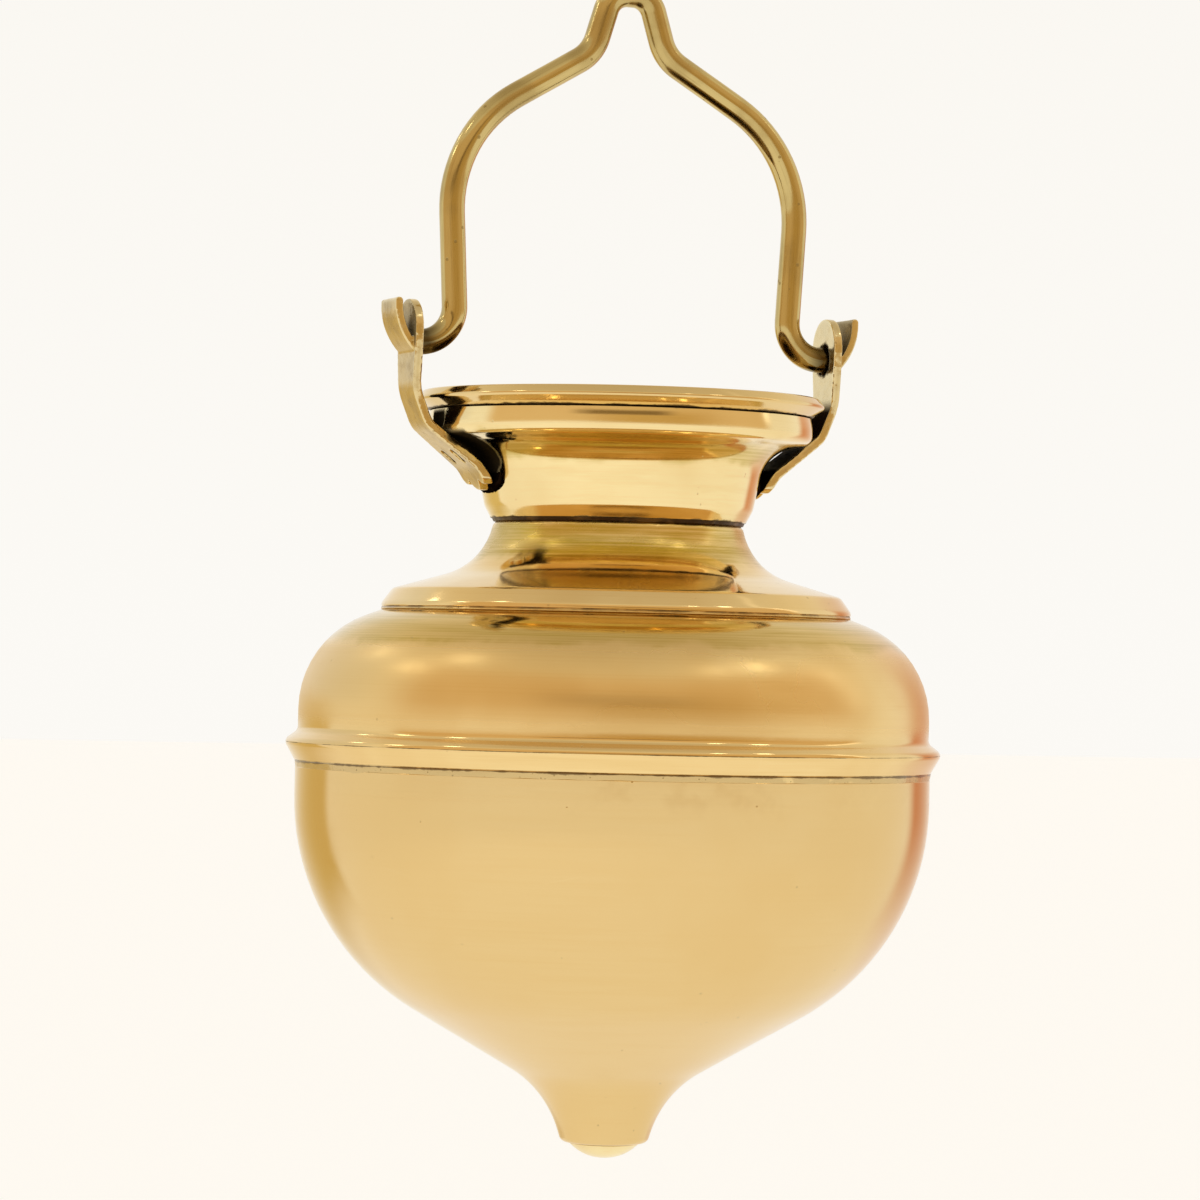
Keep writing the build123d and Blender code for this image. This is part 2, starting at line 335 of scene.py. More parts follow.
def rod_mesh(
    name: str, route: Sequence[Vector], radius: float, ease: float, sides: int = 40
) -> bpy.types.Mesh:
    """Sweep a round rod along a route in the plane of the ears.

    Args:
        name: The mesh's name.
        route: The centre line as (across, height), in metres.
        radius: The rod's radius.
        ease: The chamfer at its two ends.
        sides: Steps round the rod.

    Returns:
        The mesh, with the point attribute rod_place holding (along, angle, 0) in metres and turns.
    """
    centres = [Vector((p.x, 0.0, p.y)) for p in route]
    first, last = (centres[0] - centres[1]).normalized(), (centres[-1] - centres[-2]).normalized()
    stations = [(centres[0], radius - ease), (centres[0] - first * ease, radius)]
    stations += [(centre, radius) for centre in centres[1:-1]]
    stations += [(centres[-1] - last * ease, radius), (centres[-1], radius - ease)]
    verts, places, faces = [], [], []
    travelled = 0.0
    for i, (centre, size) in enumerate(stations):
        before, after = stations[max(i - 1, 0)][0], stations[min(i + 1, len(stations) - 1)][0]
        along = (after - before).normalized()
        outward = Vector((0, 1, 0)).cross(along)
        travelled += (centre - before).length
        for side in range(sides):
            angle = math.tau * side / sides
            ray = Vector((0, 1, 0)) * math.cos(angle) + outward * math.sin(angle)
            dent = noise.noise(centre * DENTS_PER_METRE + ray * 0.6) * DENT_DEPTH
            verts.append(centre + ray * (size + dent))
            places.append((travelled, side / sides, 0.0))
    for i in range(len(stations) - 1):
        for side in range(sides):
            k = (side + 1) % sides
            faces.append((i * sides + side, i * sides + k, (i + 1) * sides + k, (i + 1) * sides + side))
    faces.append(tuple(range(sides - 1, -1, -1)))
    tail = (len(stations) - 1) * sides
    faces.append(tuple(range(tail, tail + sides)))
    mesh = bpy.data.meshes.new(name)
    mesh.from_pydata(verts, [], faces)
    attribute = mesh.attributes.new("rod_place", "FLOAT_VECTOR", "POINT")
    attribute.data.foreach_set("vector", [value for place in places for value in place])
    return finish_mesh(mesh)


def cast_mesh(
    name: str, source: bpy.types.Object, voxel: float, softening: int, roughness: float,
    inner_face: float | None = None,
) -> bpy.types.Mesh:
    """A cast copy of a model's node: its edges rounded and its skin a little uneven.

    Args:
        name: The mesh's name.
        source: The node that gives the shape.
        voxel: Grain of the copy, in metres.
        softening: Rounds of smoothing, which set how far the edges are rounded.
        roughness: How far the skin strays, in metres.
        inner_face: Where an ear's inner face lies beside its eye, which nothing stands proud of.

    Returns:
        The new mesh.
    """
    shape = source.data.copy()
    if inner_face:
        for vertex in shape.vertices:
            near_eye = math.hypot(vertex.co.y, vertex.co.z - Levels().hinge * MM) < EYE_REACH
            if near_eye and abs(vertex.co.x) < inner_face:
                vertex.co.x = math.copysign(inner_face, vertex.co.x)
    weld = bmesh.new()
    weld.from_mesh(shape)
    bmesh.ops.remove_doubles(weld, verts=weld.verts, dist=WELD_REACH)
    weld.to_mesh(shape)
    weld.free()
    draft = add_piece(name + "_draft", shape)
    grain = draft.modifiers.new("grain", "REMESH")
    grain.mode = "VOXEL"
    grain.voxel_size = voxel
    soften = draft.modifiers.new("soften", "SMOOTH")
    soften.factor = 0.5
    soften.iterations = softening
    settled = draft.evaluated_get(bpy.context.evaluated_depsgraph_get())
    mesh = bpy.data.meshes.new_from_object(settled)
    bpy.data.objects.remove(draft)
    mesh.name = name
    normals = [vertex.normal.copy() for vertex in mesh.vertices]
    for vertex, normal in zip(mesh.vertices, normals):
        swell = noise.noise(vertex.co * SWELLS_PER_METRE)
        swell += 0.5 * noise.noise(vertex.co * GRAINS_PER_METRE)
        vertex.co += normal * swell * roughness
    mesh.materials.clear()
    mesh.polygons.foreach_set("use_smooth", [True] * len(mesh.polygons))
    mesh.update()
    note_hollows(mesh)
    return mesh


def note_hollows(mesh: bpy.types.Mesh, rounds: int = 45) -> None:
    """Give a mesh the point attribute hollow: above 0 in a recess, below 0 on an edge, in millimetres.

    Args:
        mesh: The mesh.
        rounds: How many times its places are averaged to find the plain surface.
    """
    count = len(mesh.vertices)
    places, normals = np.empty(count * 3), np.empty(count * 3)
    mesh.vertices.foreach_get("co", places)
    mesh.vertices.foreach_get("normal", normals)
    places, normals = places.reshape(-1, 3), normals.reshape(-1, 3)
    ends = np.empty(len(mesh.edges) * 2, dtype=np.int64)
    mesh.edges.foreach_get("vertices", ends)
    ends = ends.reshape(-1, 2)
    joined = np.bincount(ends.ravel(), minlength=count).clip(1)[:, None]
    plain = places.copy()
    for _ in range(rounds):
        sums = np.stack([
            np.bincount(ends[:, 0], plain[ends[:, 1], axis], count)
            + np.bincount(ends[:, 1], plain[ends[:, 0], axis], count)
            for axis in range(3)
        ], axis=1)
        plain = sums / joined
    depth = ((plain - places) * normals).sum(axis=1) / MM
    mesh.attributes.new("hollow", "FLOAT", "POINT").data.foreach_set("value", depth.astype(np.float32))


class Graph:
    """Adds nodes to the tree of a material, a group or the world."""

    def __init__(self, tree: bpy.types.NodeTree) -> None:
        """Start on a tree."""
        self.tree = tree

    def feed(self, socket: bpy.types.NodeSocket, value: object) -> None:
        """Link a socket to a flow, or set its own value."""
        if isinstance(value, Flow):
            self.tree.links.new(value.socket, socket)
        else:
            socket.default_value = value

    def node(
        self, kind: str, feeds: dict[str | int, object] | None = None, **settings: object
    ) -> bpy.types.Node:
        """Add a node.

        Args:
            kind: The node's type.
            feeds: What goes into each input.
            settings: Properties of the node itself.

        Returns:
            The node.
        """
        made = self.tree.nodes.new(kind)
        for key, value in settings.items():
            setattr(made, key, value)
        for key, value in (feeds or {}).items():
            self.feed(made.inputs[key], value)
        return made

    def read(
        self, kind: str, output: str | int, feeds: dict[str | int, object] | None = None, **settings: object
    ) -> "Flow":
        """Add a node as node() does, and give one of its outputs."""
        return Flow(self, self.node(kind, feeds, **settings).outputs[output])

    def maths(self, operation: str, *terms: "Value") -> "Flow":
        """The result of a maths node."""
        return self.read("ShaderNodeMath", 0, dict(enumerate(terms)), operation=operation)

    def most(self, *terms: "Value") -> "Flow":
        """The larger of two values."""
        return self.maths("MAXIMUM", *terms)

    def blend(self, factor: "Value", first: object, second: object) -> "Flow":
        """One colour going over to another."""
        return self.read("ShaderNodeMix", 2, {0: factor, 6: first, 7: second}, data_type="RGBA")

    def axes(self, vector: "Flow") -> list["Flow"]:
        """The three parts of a vector."""
        return [Flow(self, part) for part in self.node("ShaderNodeSeparateXYZ", {0: vector}).outputs]

    def vector(self, *parts: "Value") -> "Flow":
        """A vector from its parts."""
        return self.read("ShaderNodeCombineXYZ", 0, dict(enumerate(parts)))

    def speckle(self, place: "Flow", scale: "Value", detail: float = 2.0, roughness: float = 0.5) -> "Flow":
        """Noise at a scale in cells per metre."""
        feeds = {"Vector": place, "Scale": scale, "Detail": detail, "Roughness": roughness}
        return self.read("ShaderNodeTexNoise", 0, feeds)


class Flow:
    """What a node puts out, which sums and products can be written with."""

    def __init__(self, graph: Graph, socket: bpy.types.NodeSocket) -> None:
        """Keep the output and the graph that it is in."""
        self.graph = graph
        self.socket = socket

    def __add__(self, other: "Value") -> "Flow":
        """This value and another one."""
        return self.graph.maths("ADD", self, other)

    def __sub__(self, other: "Value") -> "Flow":
        """This value less another one."""
        return self.graph.maths("SUBTRACT", self, other)

    def __rsub__(self, other: float) -> "Flow":
        """A number less this value."""
        return self.graph.maths("SUBTRACT", other, self)

    def __mul__(self, other: "Value") -> "Flow":
        """This value times another one."""
        return self.graph.maths("MULTIPLY", self, other)

    def __truediv__(self, other: "Value") -> "Flow":
        """This value over another one."""
        return self.graph.maths("DIVIDE", self, other)

    def __abs__(self) -> "Flow":
        """This value without its sign."""
        return self.graph.maths("ABSOLUTE", self)

    __radd__ = __add__
    __rmul__ = __mul__

    def spread(self, low: "Value", high: "Value", start: "Value" = 0.0, end: "Value" = 1.0) -> "Flow":
        """This value eased from the range low to high over to the range start to end."""
        feeds = {0: self, 1: low, 2: high, 3: start, 4: end}
        return self.graph.read("ShaderNodeMapRange", 0, feeds, interpolation_type="SMOOTHSTEP")


Value = float | Flow
Given = dict[str, Flow]


@dataclass(frozen=True)
class SharedEffect:
    """An effect that several finishes use, built once as a node group with named sockets."""

    name: str
    inputs: dict[str, float]
    output: str
    recipe: Callable[[Graph, Given], Flow]

    def tree(self) -> bpy.types.NodeTree:
        """The effect's node group, made on first use.

        Returns:
            The group.
        """
        known = bpy.data.node_groups.get(self.name)
        if known:
            return known
        group = bpy.data.node_groups.new(self.name, "ShaderNodeTree")
        group.interface.new_socket("Place", in_out="INPUT", socket_type="NodeSocketVector")
        for name, value in self.inputs.items():
            socket = group.interface.new_socket(name, in_out="INPUT", socket_type="NodeSocketFloat")
            socket.default_value = value
        group.interface.new_socket(self.output, in_out="OUTPUT", socket_type="NodeSocketFloat")
        graph = Graph(group)
        entry = graph.node("NodeGroupInput")
        given = {socket.name: Flow(graph, socket) for socket in entry.outputs if socket.name}
        graph.node("NodeGroupOutput", {self.output: self.recipe(graph, given)})
        return group

    def on(self, finish: "Metal", **values: float) -> Flow:
        """Put the effect in a finish.

        Args:
            finish: The finish.
            values: Values for the named inputs.

        Returns:
            What the effect puts out.
        """
        feeds = {"Place": finish.place, **{key.capitalize(): value for key, value in values.items()}}
        made = finish.node("ShaderNodeGroup", node_tree=self.tree())
        for key, value in feeds.items():
            finish.feed(made.inputs[key], value)
        return Flow(finish, made.outputs[self.output])


def turning_recipe(graph: Graph, given: Given) -> Flow:
    """Fine rings that a spinning or polishing tool leaves round the axis."""
    across, deep, height = graph.axes(given["Place"])
    radius = graph.maths("SQRT", across * across + deep * deep)
    angle = graph.maths("ARCTAN2", deep, across)
    lines = given["Lines"]
    return graph.speckle(graph.vector(radius * lines, height * lines, angle * given["Drift"]), 1.0, 3.0, 0.65)


def cloud_recipe(graph: Graph, given: Given) -> Flow:
    """Soft patches."""
    return graph.speckle(given["Place"], given["Scale"], 3.0, 0.55).spread(given["Low"], given["High"])


def soil_recipe(graph: Graph, given: Given) -> Flow:
    """A ragged dark line at one height: soil along a seam, or the dark line just under the dome's ridge."""
    away = abs(graph.axes(given["Place"])[2] - given["Level"])
    grain = graph.speckle(given["Place"], 900.0, 4.0, 0.7)
    swell = graph.speckle(given["Place"], 160.0, 2.0, 0.6).spread(0.35, 0.65, 0.25, 1.5)
    edge = given["Reach"] * (grain * (swell * 2.0))
    return (1.0 - away / edge).spread(0.0, 0.7)


def hairline_recipe(graph: Graph, given: Given) -> Flow:
    """Hairline scratches in two directions."""
    across, deep, height = graph.axes(given["Place"])
    flat, fineness = across + deep, given["Fineness"]
    lines = []
    for lean, shift in ((0.5, 3.0), (-1.4, 11.0)):
        side, along = height * lean + flat, height - flat * lean
        grain = graph.speckle(graph.vector(side * fineness, along * (fineness * 0.03), shift), 1.0, 1.0, 0.5)
        lines.append(grain.spread(0.86 - given["Amount"], 0.9))
    return graph.most(*lines)


def pit_recipe(graph: Graph, given: Given) -> Flow:
    """Tiny pits and grains in cast or worn metal."""
    cells = graph.node("ShaderNodeTexVoronoi", {"Vector": given["Place"], "Scale": given["Scale"]}).outputs
    pick = graph.read("ShaderNodeSeparateColor", 0, {0: Flow(graph, cells["Color"])})
    size = pick.spread(1.0 - given["Share"], 1.0) * 0.32
    return (size - Flow(graph, cells["Distance"])).spread(0.0, 0.12)


def behind_recipe(graph: Graph, given: Given) -> Flow:
    """Painted shade: the stretch of the collar behind an ear, made dark to stand in for the ear's shaded inner
    side mirrored there.
    """
    across, deep, height = graph.axes(given["Place"])
    top, foot = given["Top"], given["Foot"]
    ragged = (graph.speckle(given["Place"], 260.0, 3.0, 0.6) - 0.5) * 0.14
    away = abs(graph.maths("ARCTAN2", deep, abs(across))) + ragged
    reach = given["Reach"] * height.spread(foot, foot + 0.006, 0.45, 1.0)
    below = height.spread(top, top - 0.0012)
    above = (height + ragged * 0.02).spread(foot, foot + 0.0018)
    return away.spread(reach, reach * 0.8) * (below * above)


def band_recipe(graph: Graph, given: Given) -> Flow:
    """A ragged stretch of the vessel between two heights."""
    ease = given["Ease"]
    grain = graph.speckle(given["Place"], 90.0, 3.0, 0.6) - 0.5
    level = graph.axes(given["Place"])[2] + grain * given["Ragged"]
    below = level.spread(given["Top"] + ease, given["Top"] - ease)
    return below * level.spread(given["Foot"] - ease, given["Foot"] + ease)


def eye_recipe(graph: Graph, given: Given) -> Flow:
    """Painted shade: the ring round the hinge line where the eye is dark round the bail's end."""
    _, deep, height = graph.axes(given["Place"])
    rise = height - given["Hinge"]
    ragged = (graph.speckle(given["Place"], 420.0, 3.0, 0.7) - 0.5) * 0.0035
    away = graph.maths("SQRT", rise * rise + deep * deep) + ragged
    return away.spread(given["Reach"], given["Reach"] * 0.7)


TURNING = SharedEffect("turning rings", {"Lines": 2500.0, "Drift": 0.6}, "Height", turning_recipe)
CLOUDS = SharedEffect("soft patches", {"Scale": 30.0, "Low": 0.4, "High": 0.65}, "Mask", cloud_recipe)
SOIL = SharedEffect("seam soil", {"Level": 0.0, "Reach": 0.0004}, "Mask", soil_recipe)
HAIRLINES = SharedEffect("hairlines", {"Fineness": 1500.0, "Amount": 0.1}, "Mask", hairline_recipe)
PITS = SharedEffect("pits", {"Scale": 900.0, "Share": 0.2}, "Mask", pit_recipe)
BEHIND = SharedEffect("behind an ear", {"Reach": 0.3, "Top": -0.08, "Foot": -0.1}, "Mask", behind_recipe)
BAND_LEVELS = {"Top": 0.0, "Foot": -0.01, "Ease": 0.001, "Ragged": 0.005}
BAND = SharedEffect("height band", BAND_LEVELS, "Mask", band_recipe)
EYE_RING = SharedEffect("eye ring", {"Hinge": -0.0674, "Reach": 0.004}, "Mask", eye_recipe)


class Metal(Graph):
    """A metal material in the making."""

    def __init__(self, name: str) -> None:
        """Start a material under a name."""
        self.material = bpy.data.materials.new(name)
        self.material.use_nodes = True
        super().__init__(self.material.node_tree)
        self.skin = self.tree.nodes["Principled BSDF"].inputs
        self.skin["Metallic"].default_value = 1.0
        self.skin["Specular IOR Level"].default_value = 0.0
        self.place = self.read("ShaderNodeTexCoord", "Object")

    def finish(self, colour: Flow, rough: Flow, relief: Flow, depth: float) -> bpy.types.Material:
        """Give the metal its colour, its roughness and its relief.

        Args:
            colour: Its colour.
            rough: Its roughness.
            relief: The height of its skin.
            depth: How deep a relief of 1 is, in metres.

        Returns:
            The material.
        """
        self.feed(self.skin["Base Color"], colour)
        self.feed(self.skin["Roughness"], rough)
        bumped = self.read("ShaderNodeBump", 0, {"Height": relief, "Distance": depth})
        self.feed(self.skin["Normal"], bumped)
        return self.material


@dataclass(frozen=True)
class SpunBrass:
    """Sheet brass that was spun over a form and buffed."""

    name: str
    face: Colour = (0.82, 0.605, 0.275, 1.0)
    shade: Colour = (0.72, 0.47, 0.165, 1.0)
    worn: Colour = (0.92, 0.78, 0.48, 1.0)
    soil: Colour = (0.05, 0.026, 0.01, 1.0)
    # Near-black colour of the painted shade on the collar behind the ears.
    shade_behind_ear: Colour = (0.011, 0.006, 0.003, 1.0)
    # Deep gold of the painted reflection bands, which stand in for darker surroundings mirrored in the metal.
    reflection_gold: Colour = (0.52, 0.37, 0.06, 1.0)
    roughness: float = 0.085
    lines: float = 2600.0
    line_depth: float = 0.5e-6
    line_colour: float = 0.10
    patch: float = 0.45
    pit_share: float = 0.03
    # Dark lines, each as (height, reach) in millimetres.
    dark_lines: tuple[tuple[float, float], ...] = ()
    # Painted shade behind the ears, each as (reach in degrees, top, foot in millimetres).
    behind_ears: tuple[tuple[float, float, float], ...] = ()
    # Painted reflection bands, each as (top, foot, share): deeper gold with stronger rings.
    reflection_bands: tuple[tuple[float, float, float], ...] = ()
    satin: tuple[float, float, float] | None = None

    def material(self) -> bpy.types.Material:
        """Make the finish.

        Returns:
            The material.
        """
        metal = Metal(self.name)
        rings = TURNING.on(metal, lines=self.lines)
        broad = TURNING.on(metal, lines=self.lines * 0.16, drift=1.6)
        clouds = CLOUDS.on(metal, scale=26.0)
        smudges = CLOUDS.on(metal, scale=120.0, low=0.52, high=0.72)
        hairs = HAIRLINES.on(metal)
        pits = PITS.on(metal, scale=1100.0, share=self.pit_share)
        toned = metal.most(clouds, broad.spread(0.35, 0.7) * 0.6) * self.patch
        colour = metal.blend(toned, self.face, self.shade)
        colour = metal.blend(rings.spread(0.45, 0.75) * self.line_colour, colour, self.shade)
        streaks = (rings + broad * 0.6).spread(0.62, 1.0)
        # Painted reflection: bands of deeper gold that stand in for the darker surroundings the metal mirrors.
        deep: Value = 0.0
        for top, foot, share in self.reflection_bands:
            deep = metal.most(deep, BAND.on(metal, top=top * MM, foot=foot * MM) * share)
        colour = metal.blend(deep * (streaks * 0.6 + 0.4), colour, self.reflection_gold)
        colour = metal.blend(hairs * 0.3, colour, self.worn)
        dirt_and_shade = pits * 0.2
        for level, reach in self.dark_lines:
            dirt_and_shade = metal.most(dirt_and_shade, SOIL.on(metal, level=level * MM, reach=reach * MM) * 0.9)
        colour = metal.blend(dirt_and_shade, colour, self.soil)
        # Painted shade behind each ear: near-black, dull and not metallic.
        shade_behind_mask: Value = 0.0
        for reach, top, foot in self.behind_ears:
            shade_behind_ear = BEHIND.on(metal, reach=math.radians(reach), top=top * MM, foot=foot * MM)
            colour = metal.blend(shade_behind_ear * 0.98, colour, self.shade_behind_ear)
            shade_behind_mask = metal.most(shade_behind_mask, shade_behind_ear)
        if self.behind_ears:
            dirt_and_shade = metal.most(dirt_and_shade, shade_behind_mask)
            metal.feed(metal.skin["Metallic"], 1.0 - shade_behind_mask)
        rough = self.roughness + clouds * 0.04 + smudges * 0.05 + hairs * 0.12 + dirt_and_shade * 0.35
        if self.satin:
            top, foot, extra = self.satin
            rough = rough + BAND.on(metal, top=top * MM, foot=foot * MM, ease=1.8 * MM, ragged=0.0) * extra
        relief = (rings + broad * 2.0) * (deep * 9.0 + 1.0) - pits * 40.0
        return metal.finish(colour, rough, relief, self.line_depth)


@dataclass(frozen=True)
class CastBrass:
    """Brass as it comes from the mould, handled bright on its edges, with painted shade: black in its
    recesses, on its inner face below the rim and round the eye, and dark in the fork.

    Its lines and faces are places on an ear, in millimetres.
    """

    name: str
    face: Colour = (0.66, 0.49, 0.205, 1.0)
    dark: Colour = (0.30, 0.205, 0.075, 1.0)
    bright: Colour = (0.94, 0.81, 0.50, 1.0)
    # Dark colour of the painted shade on the faces in the fork.
    fork: Colour = (0.055, 0.036, 0.012, 1.0)
    # Near-black of the painted shade in the recesses, on the inner face and round the eye.
    black: Colour = (0.014, 0.008, 0.004, 1.0)
    roughness: float = 0.17
    grain_depth: float = 0.012e-3
    # Height below which the inner face is in painted shade, where the collar mirrors it.
    rim_line: float = -75.0
    strap_face: float = 44.0
    leaf_face: float = 44.8
    leaf_top: float = -59.5
    leaf_root: float = -69.0
    foot_line: float = -80.0

    def material(self) -> bpy.types.Material:
        """Make the finish.

        Returns:
            The material.
        """
        metal = Metal(self.name)
        clouds = CLOUDS.on(metal, scale=130.0, low=0.42, high=0.66)
        fine = CLOUDS.on(metal, scale=520.0, low=0.45, high=0.7)
        pits = PITS.on(metal, scale=850.0, share=0.3)
        hairs = HAIRLINES.on(metal, fineness=2600.0, amount=0.16)
        hollow = metal.read("ShaderNodeAttribute", "Fac", attribute_name="hollow")
        edges, recess = hollow.spread(-0.05, -0.2), hollow.spread(0.03, 0.11)
        colour = metal.blend(clouds * 0.45, self.face, self.dark)
        colour = metal.blend(fine * 0.15, colour, self.dark)
        colour = metal.blend(hairs * 0.35, colour, self.bright)
        colour = metal.blend(edges * 0.4, colour, self.bright)
        colour = metal.blend(pits * 0.4, colour, self.dark)
        across, _, height = metal.axes(metal.place)
        inner, fork_shade = self._faces(metal, across, height)
        colour = metal.blend(inner * 0.7, colour, self.bright)
        # Painted shade in the fork.
        colour = metal.blend(fork_shade, colour, self.fork)
        # Painted shade: the recesses above the foot line, the inner face below the rim line and the ring round
        # the eye go black.
        low = height.spread(self.rim_line * MM, (self.rim_line - 3.0) * MM)
        inner_face_shade = inner * metal.most(low, EYE_RING.on(metal, hinge=Levels().hinge * MM))
        foot = height.spread(self.foot_line * MM, (self.foot_line - 2.0) * MM)
        painted_shade = metal.most(recess * foot * 0.95, inner_face_shade)
        colour = metal.blend(painted_shade, colour, self.black)
        # The painted shade is dull and not metallic, so the metal mirrors nothing there.
        metal.feed(metal.skin["Metallic"], 1.0 - metal.most(painted_shade, fork_shade))
        rough = self.roughness + fine * 0.12 + painted_shade * 0.3 - edges * 0.08
        relief = metal.speckle(metal.place, 700.0, 3.0, 0.6) + clouds * 2.0 - pits * 0.9
        return metal.finish(colour, rough, relief, self.grain_depth)

    def _faces(self, metal: Metal, across: Flow, height: Flow) -> tuple[Flow, Flow]:
        """Where an ear faces the vessel, and where its leaf and strap face each other in the fork.

        Args:
            metal: The finish.
            across: How far out along the hinge line the point lies.
            height: Its height.

        Returns:
            The masks of the inner face and of the painted shade on the fork's facing faces, deeper lower down.
        """
        turned = metal.axes(metal.read("ShaderNodeTexCoord", "Normal"))[0]
        inward = turned * metal.maths("SIGN", across) * -1.0
        out = abs(across)
        leaf = out.spread(self.strap_face * MM, (self.strap_face + 0.3) * MM)
        facing = inward.spread(0.35, 0.7)
        back = inward.spread(-0.5, -0.8) * out.spread(self.leaf_face * MM, self.strap_face * MM)
        forked = metal.most(facing * leaf, back)
        forked = forked * height.spread(self.leaf_root * MM, (self.leaf_root + 1.0) * MM)
        # The fork's painted shade deepens from the leaf's top down towards its root.
        shade = height.spread(self.leaf_top * MM, (self.leaf_root + 2.0) * MM, 0.45, 0.97)
        return facing * (1.0 - leaf), forked * shade


@dataclass(frozen=True)
class RodBrass:
    """Drawn rod, bent by hand, gone dull in the bends and black by the ears."""

    name: str
    # The face is darker than the vessel's brass, as a painted reflection of the dark surroundings that the rod
    # mirrors.
    face: Colour = (0.62, 0.48, 0.20, 1.0)
    dull: Colour = (0.30, 0.20, 0.06, 1.0)
    black: Colour = (0.03, 0.018, 0.008, 1.0)
    roughness: float = 0.13
    relief_depth: float = 0.0035 * MM
    black_reach: tuple[float, float] = (36.0 * MM, 42.0 * MM)
    black_levels: tuple[float, float] = (-50.0 * MM, -62.0 * MM)

    def material(self) -> bpy.types.Material:
        """Make the finish.

        Returns:
            The material.
        """
        metal = Metal(self.name)
        along, angle, _ = metal.axes(metal.read("ShaderNodeAttribute", "Vector", attribute_name="rod_place"))
        round_rod = metal.maths("PINGPONG", angle, 0.5)
        drawn = metal.speckle(metal.vector(along * 90.0, round_rod * 46.0), 1.0, 3.0, 0.6)
        clouds = CLOUDS.on(metal, scale=75.0, low=0.42, high=0.66)
        pits = PITS.on(metal, scale=700.0, share=0.12)
        colour = metal.blend(drawn.spread(0.5, 0.75) * 0.4, self.face, self.dull)
        colour = metal.blend(clouds * 0.45, colour, self.dull)
        colour = metal.blend(pits * 0.7, colour, self.dull)
        across, _, height = metal.axes(metal.place)
        near_ear = (abs(across) + clouds * (2.0 * MM)).spread(*self.black_reach)
        colour = metal.blend(near_ear * height.spread(*self.black_levels) * 0.85, colour, self.black)
        rough = self.roughness + clouds * 0.12 + pits * 0.2
        return metal.finish(colour, rough, drawn - pits * 2.0, self.relief_depth)


@dataclass(frozen=True)
class SeamSolder:
    """Solder and flux left dark in a seam."""

    name: str
    dark: Colour = (0.055, 0.032, 0.016, 1.0)
    light: Colour = (0.36, 0.24, 0.11, 1.0)
    bare: float = 0.3
    everywhere: float = 0.0
    rim_tint: Colour = (1.0, 1.0, 1.0, 1.0)
    roughness: float = 0.42
    grain_depth: float = 0.05e-3
    line: tuple[float, float] | None = None

    def material(self) -> bpy.types.Material:
        """Make the finish.

        Returns:
            The material.
        """
        metal = Metal(self.name)
        # A dark rim tint takes away the grazing reflection; the braze uses it as part of its painted shade.
        metal.skin["Specular Tint"].default_value = self.rim_tint
        clouds = CLOUDS.on(metal, scale=150.0, low=0.5, high=0.7)
        pits = PITS.on(metal, scale=1500.0, share=0.5)
        colour = metal.blend(metal.most(clouds * self.bare, self.everywhere), self.dark, self.light)
        colour = metal.blend(pits * 0.5, colour, self.dark)
        if self.line:
            level, reach = self.line
            gap = SOIL.on(metal, level=level * MM, reach=reach * MM)
            colour = metal.blend(gap * 0.9, colour, self.dark)
        relief = metal.speckle(metal.place, 1100.0, 3.0, 0.6) - pits
        return metal.finish(colour, self.roughness + clouds * -0.12, relief, self.grain_depth)


@dataclass(frozen=True)
class SpunPart:
    """One spun or turned piece of the vessel, revolved from its own section."""

    node: str
    line: BentLine
    finish: SpunBrass
    inside: SpunBrass
    sheet: float = 1.2
    ease: float = 0.22
    work: HandWork = HandWork()

    def build(self) -> bpy.types.Object:
        """Revolve the piece and put it on the vessel.

        Returns:
            The piece.
        """
        if self.line.closed:
            section = [(point, Side.OUTSIDE) for point in self.line.points()]
        else:
            section = wall_section(self.line.points(), self.sheet * MM, self.ease * MM)
        mesh = spun_mesh("spun_" + self.node, section, self.work)
        return stand_in(mesh, self.node, Body.VESSEL, "spun_brass")

    def dress(self, piece: bpy.types.Object) -> None:
        """Give the piece its outer and inner finish."""
        for finish in (self.finish, self.inside):
            piece.data.materials.append(bpy.data.materials.get(finish.name) or finish.material())


@dataclass(frozen=True)
class SolderRing:
    """The ragged ring of solder that closes one seam."""

    node: str
    line: BentLine
    finish: SeamSolder
    work: HandWork = HandWork(stray=0.14 * MM, round_count=11.0, along=400.0)
    segments: int = 420

    def build(self) -> bpy.types.Object:
        """Revolve the ring with an uneven edge.

        Returns:
            The piece.
        """
        section = [(point, Side.OUTSIDE) for point in self.line.points()]
        mesh = spun_mesh("run_" + self.node, section, self.work, self.segments)
        return stand_in(mesh, self.node, Body.VESSEL, "solder")

    def dress(self, piece: bpy.types.Object) -> None:
        """Give the ring its finish."""
        piece.data.materials.append(bpy.data.materials.get(self.finish.name) or self.finish.material())


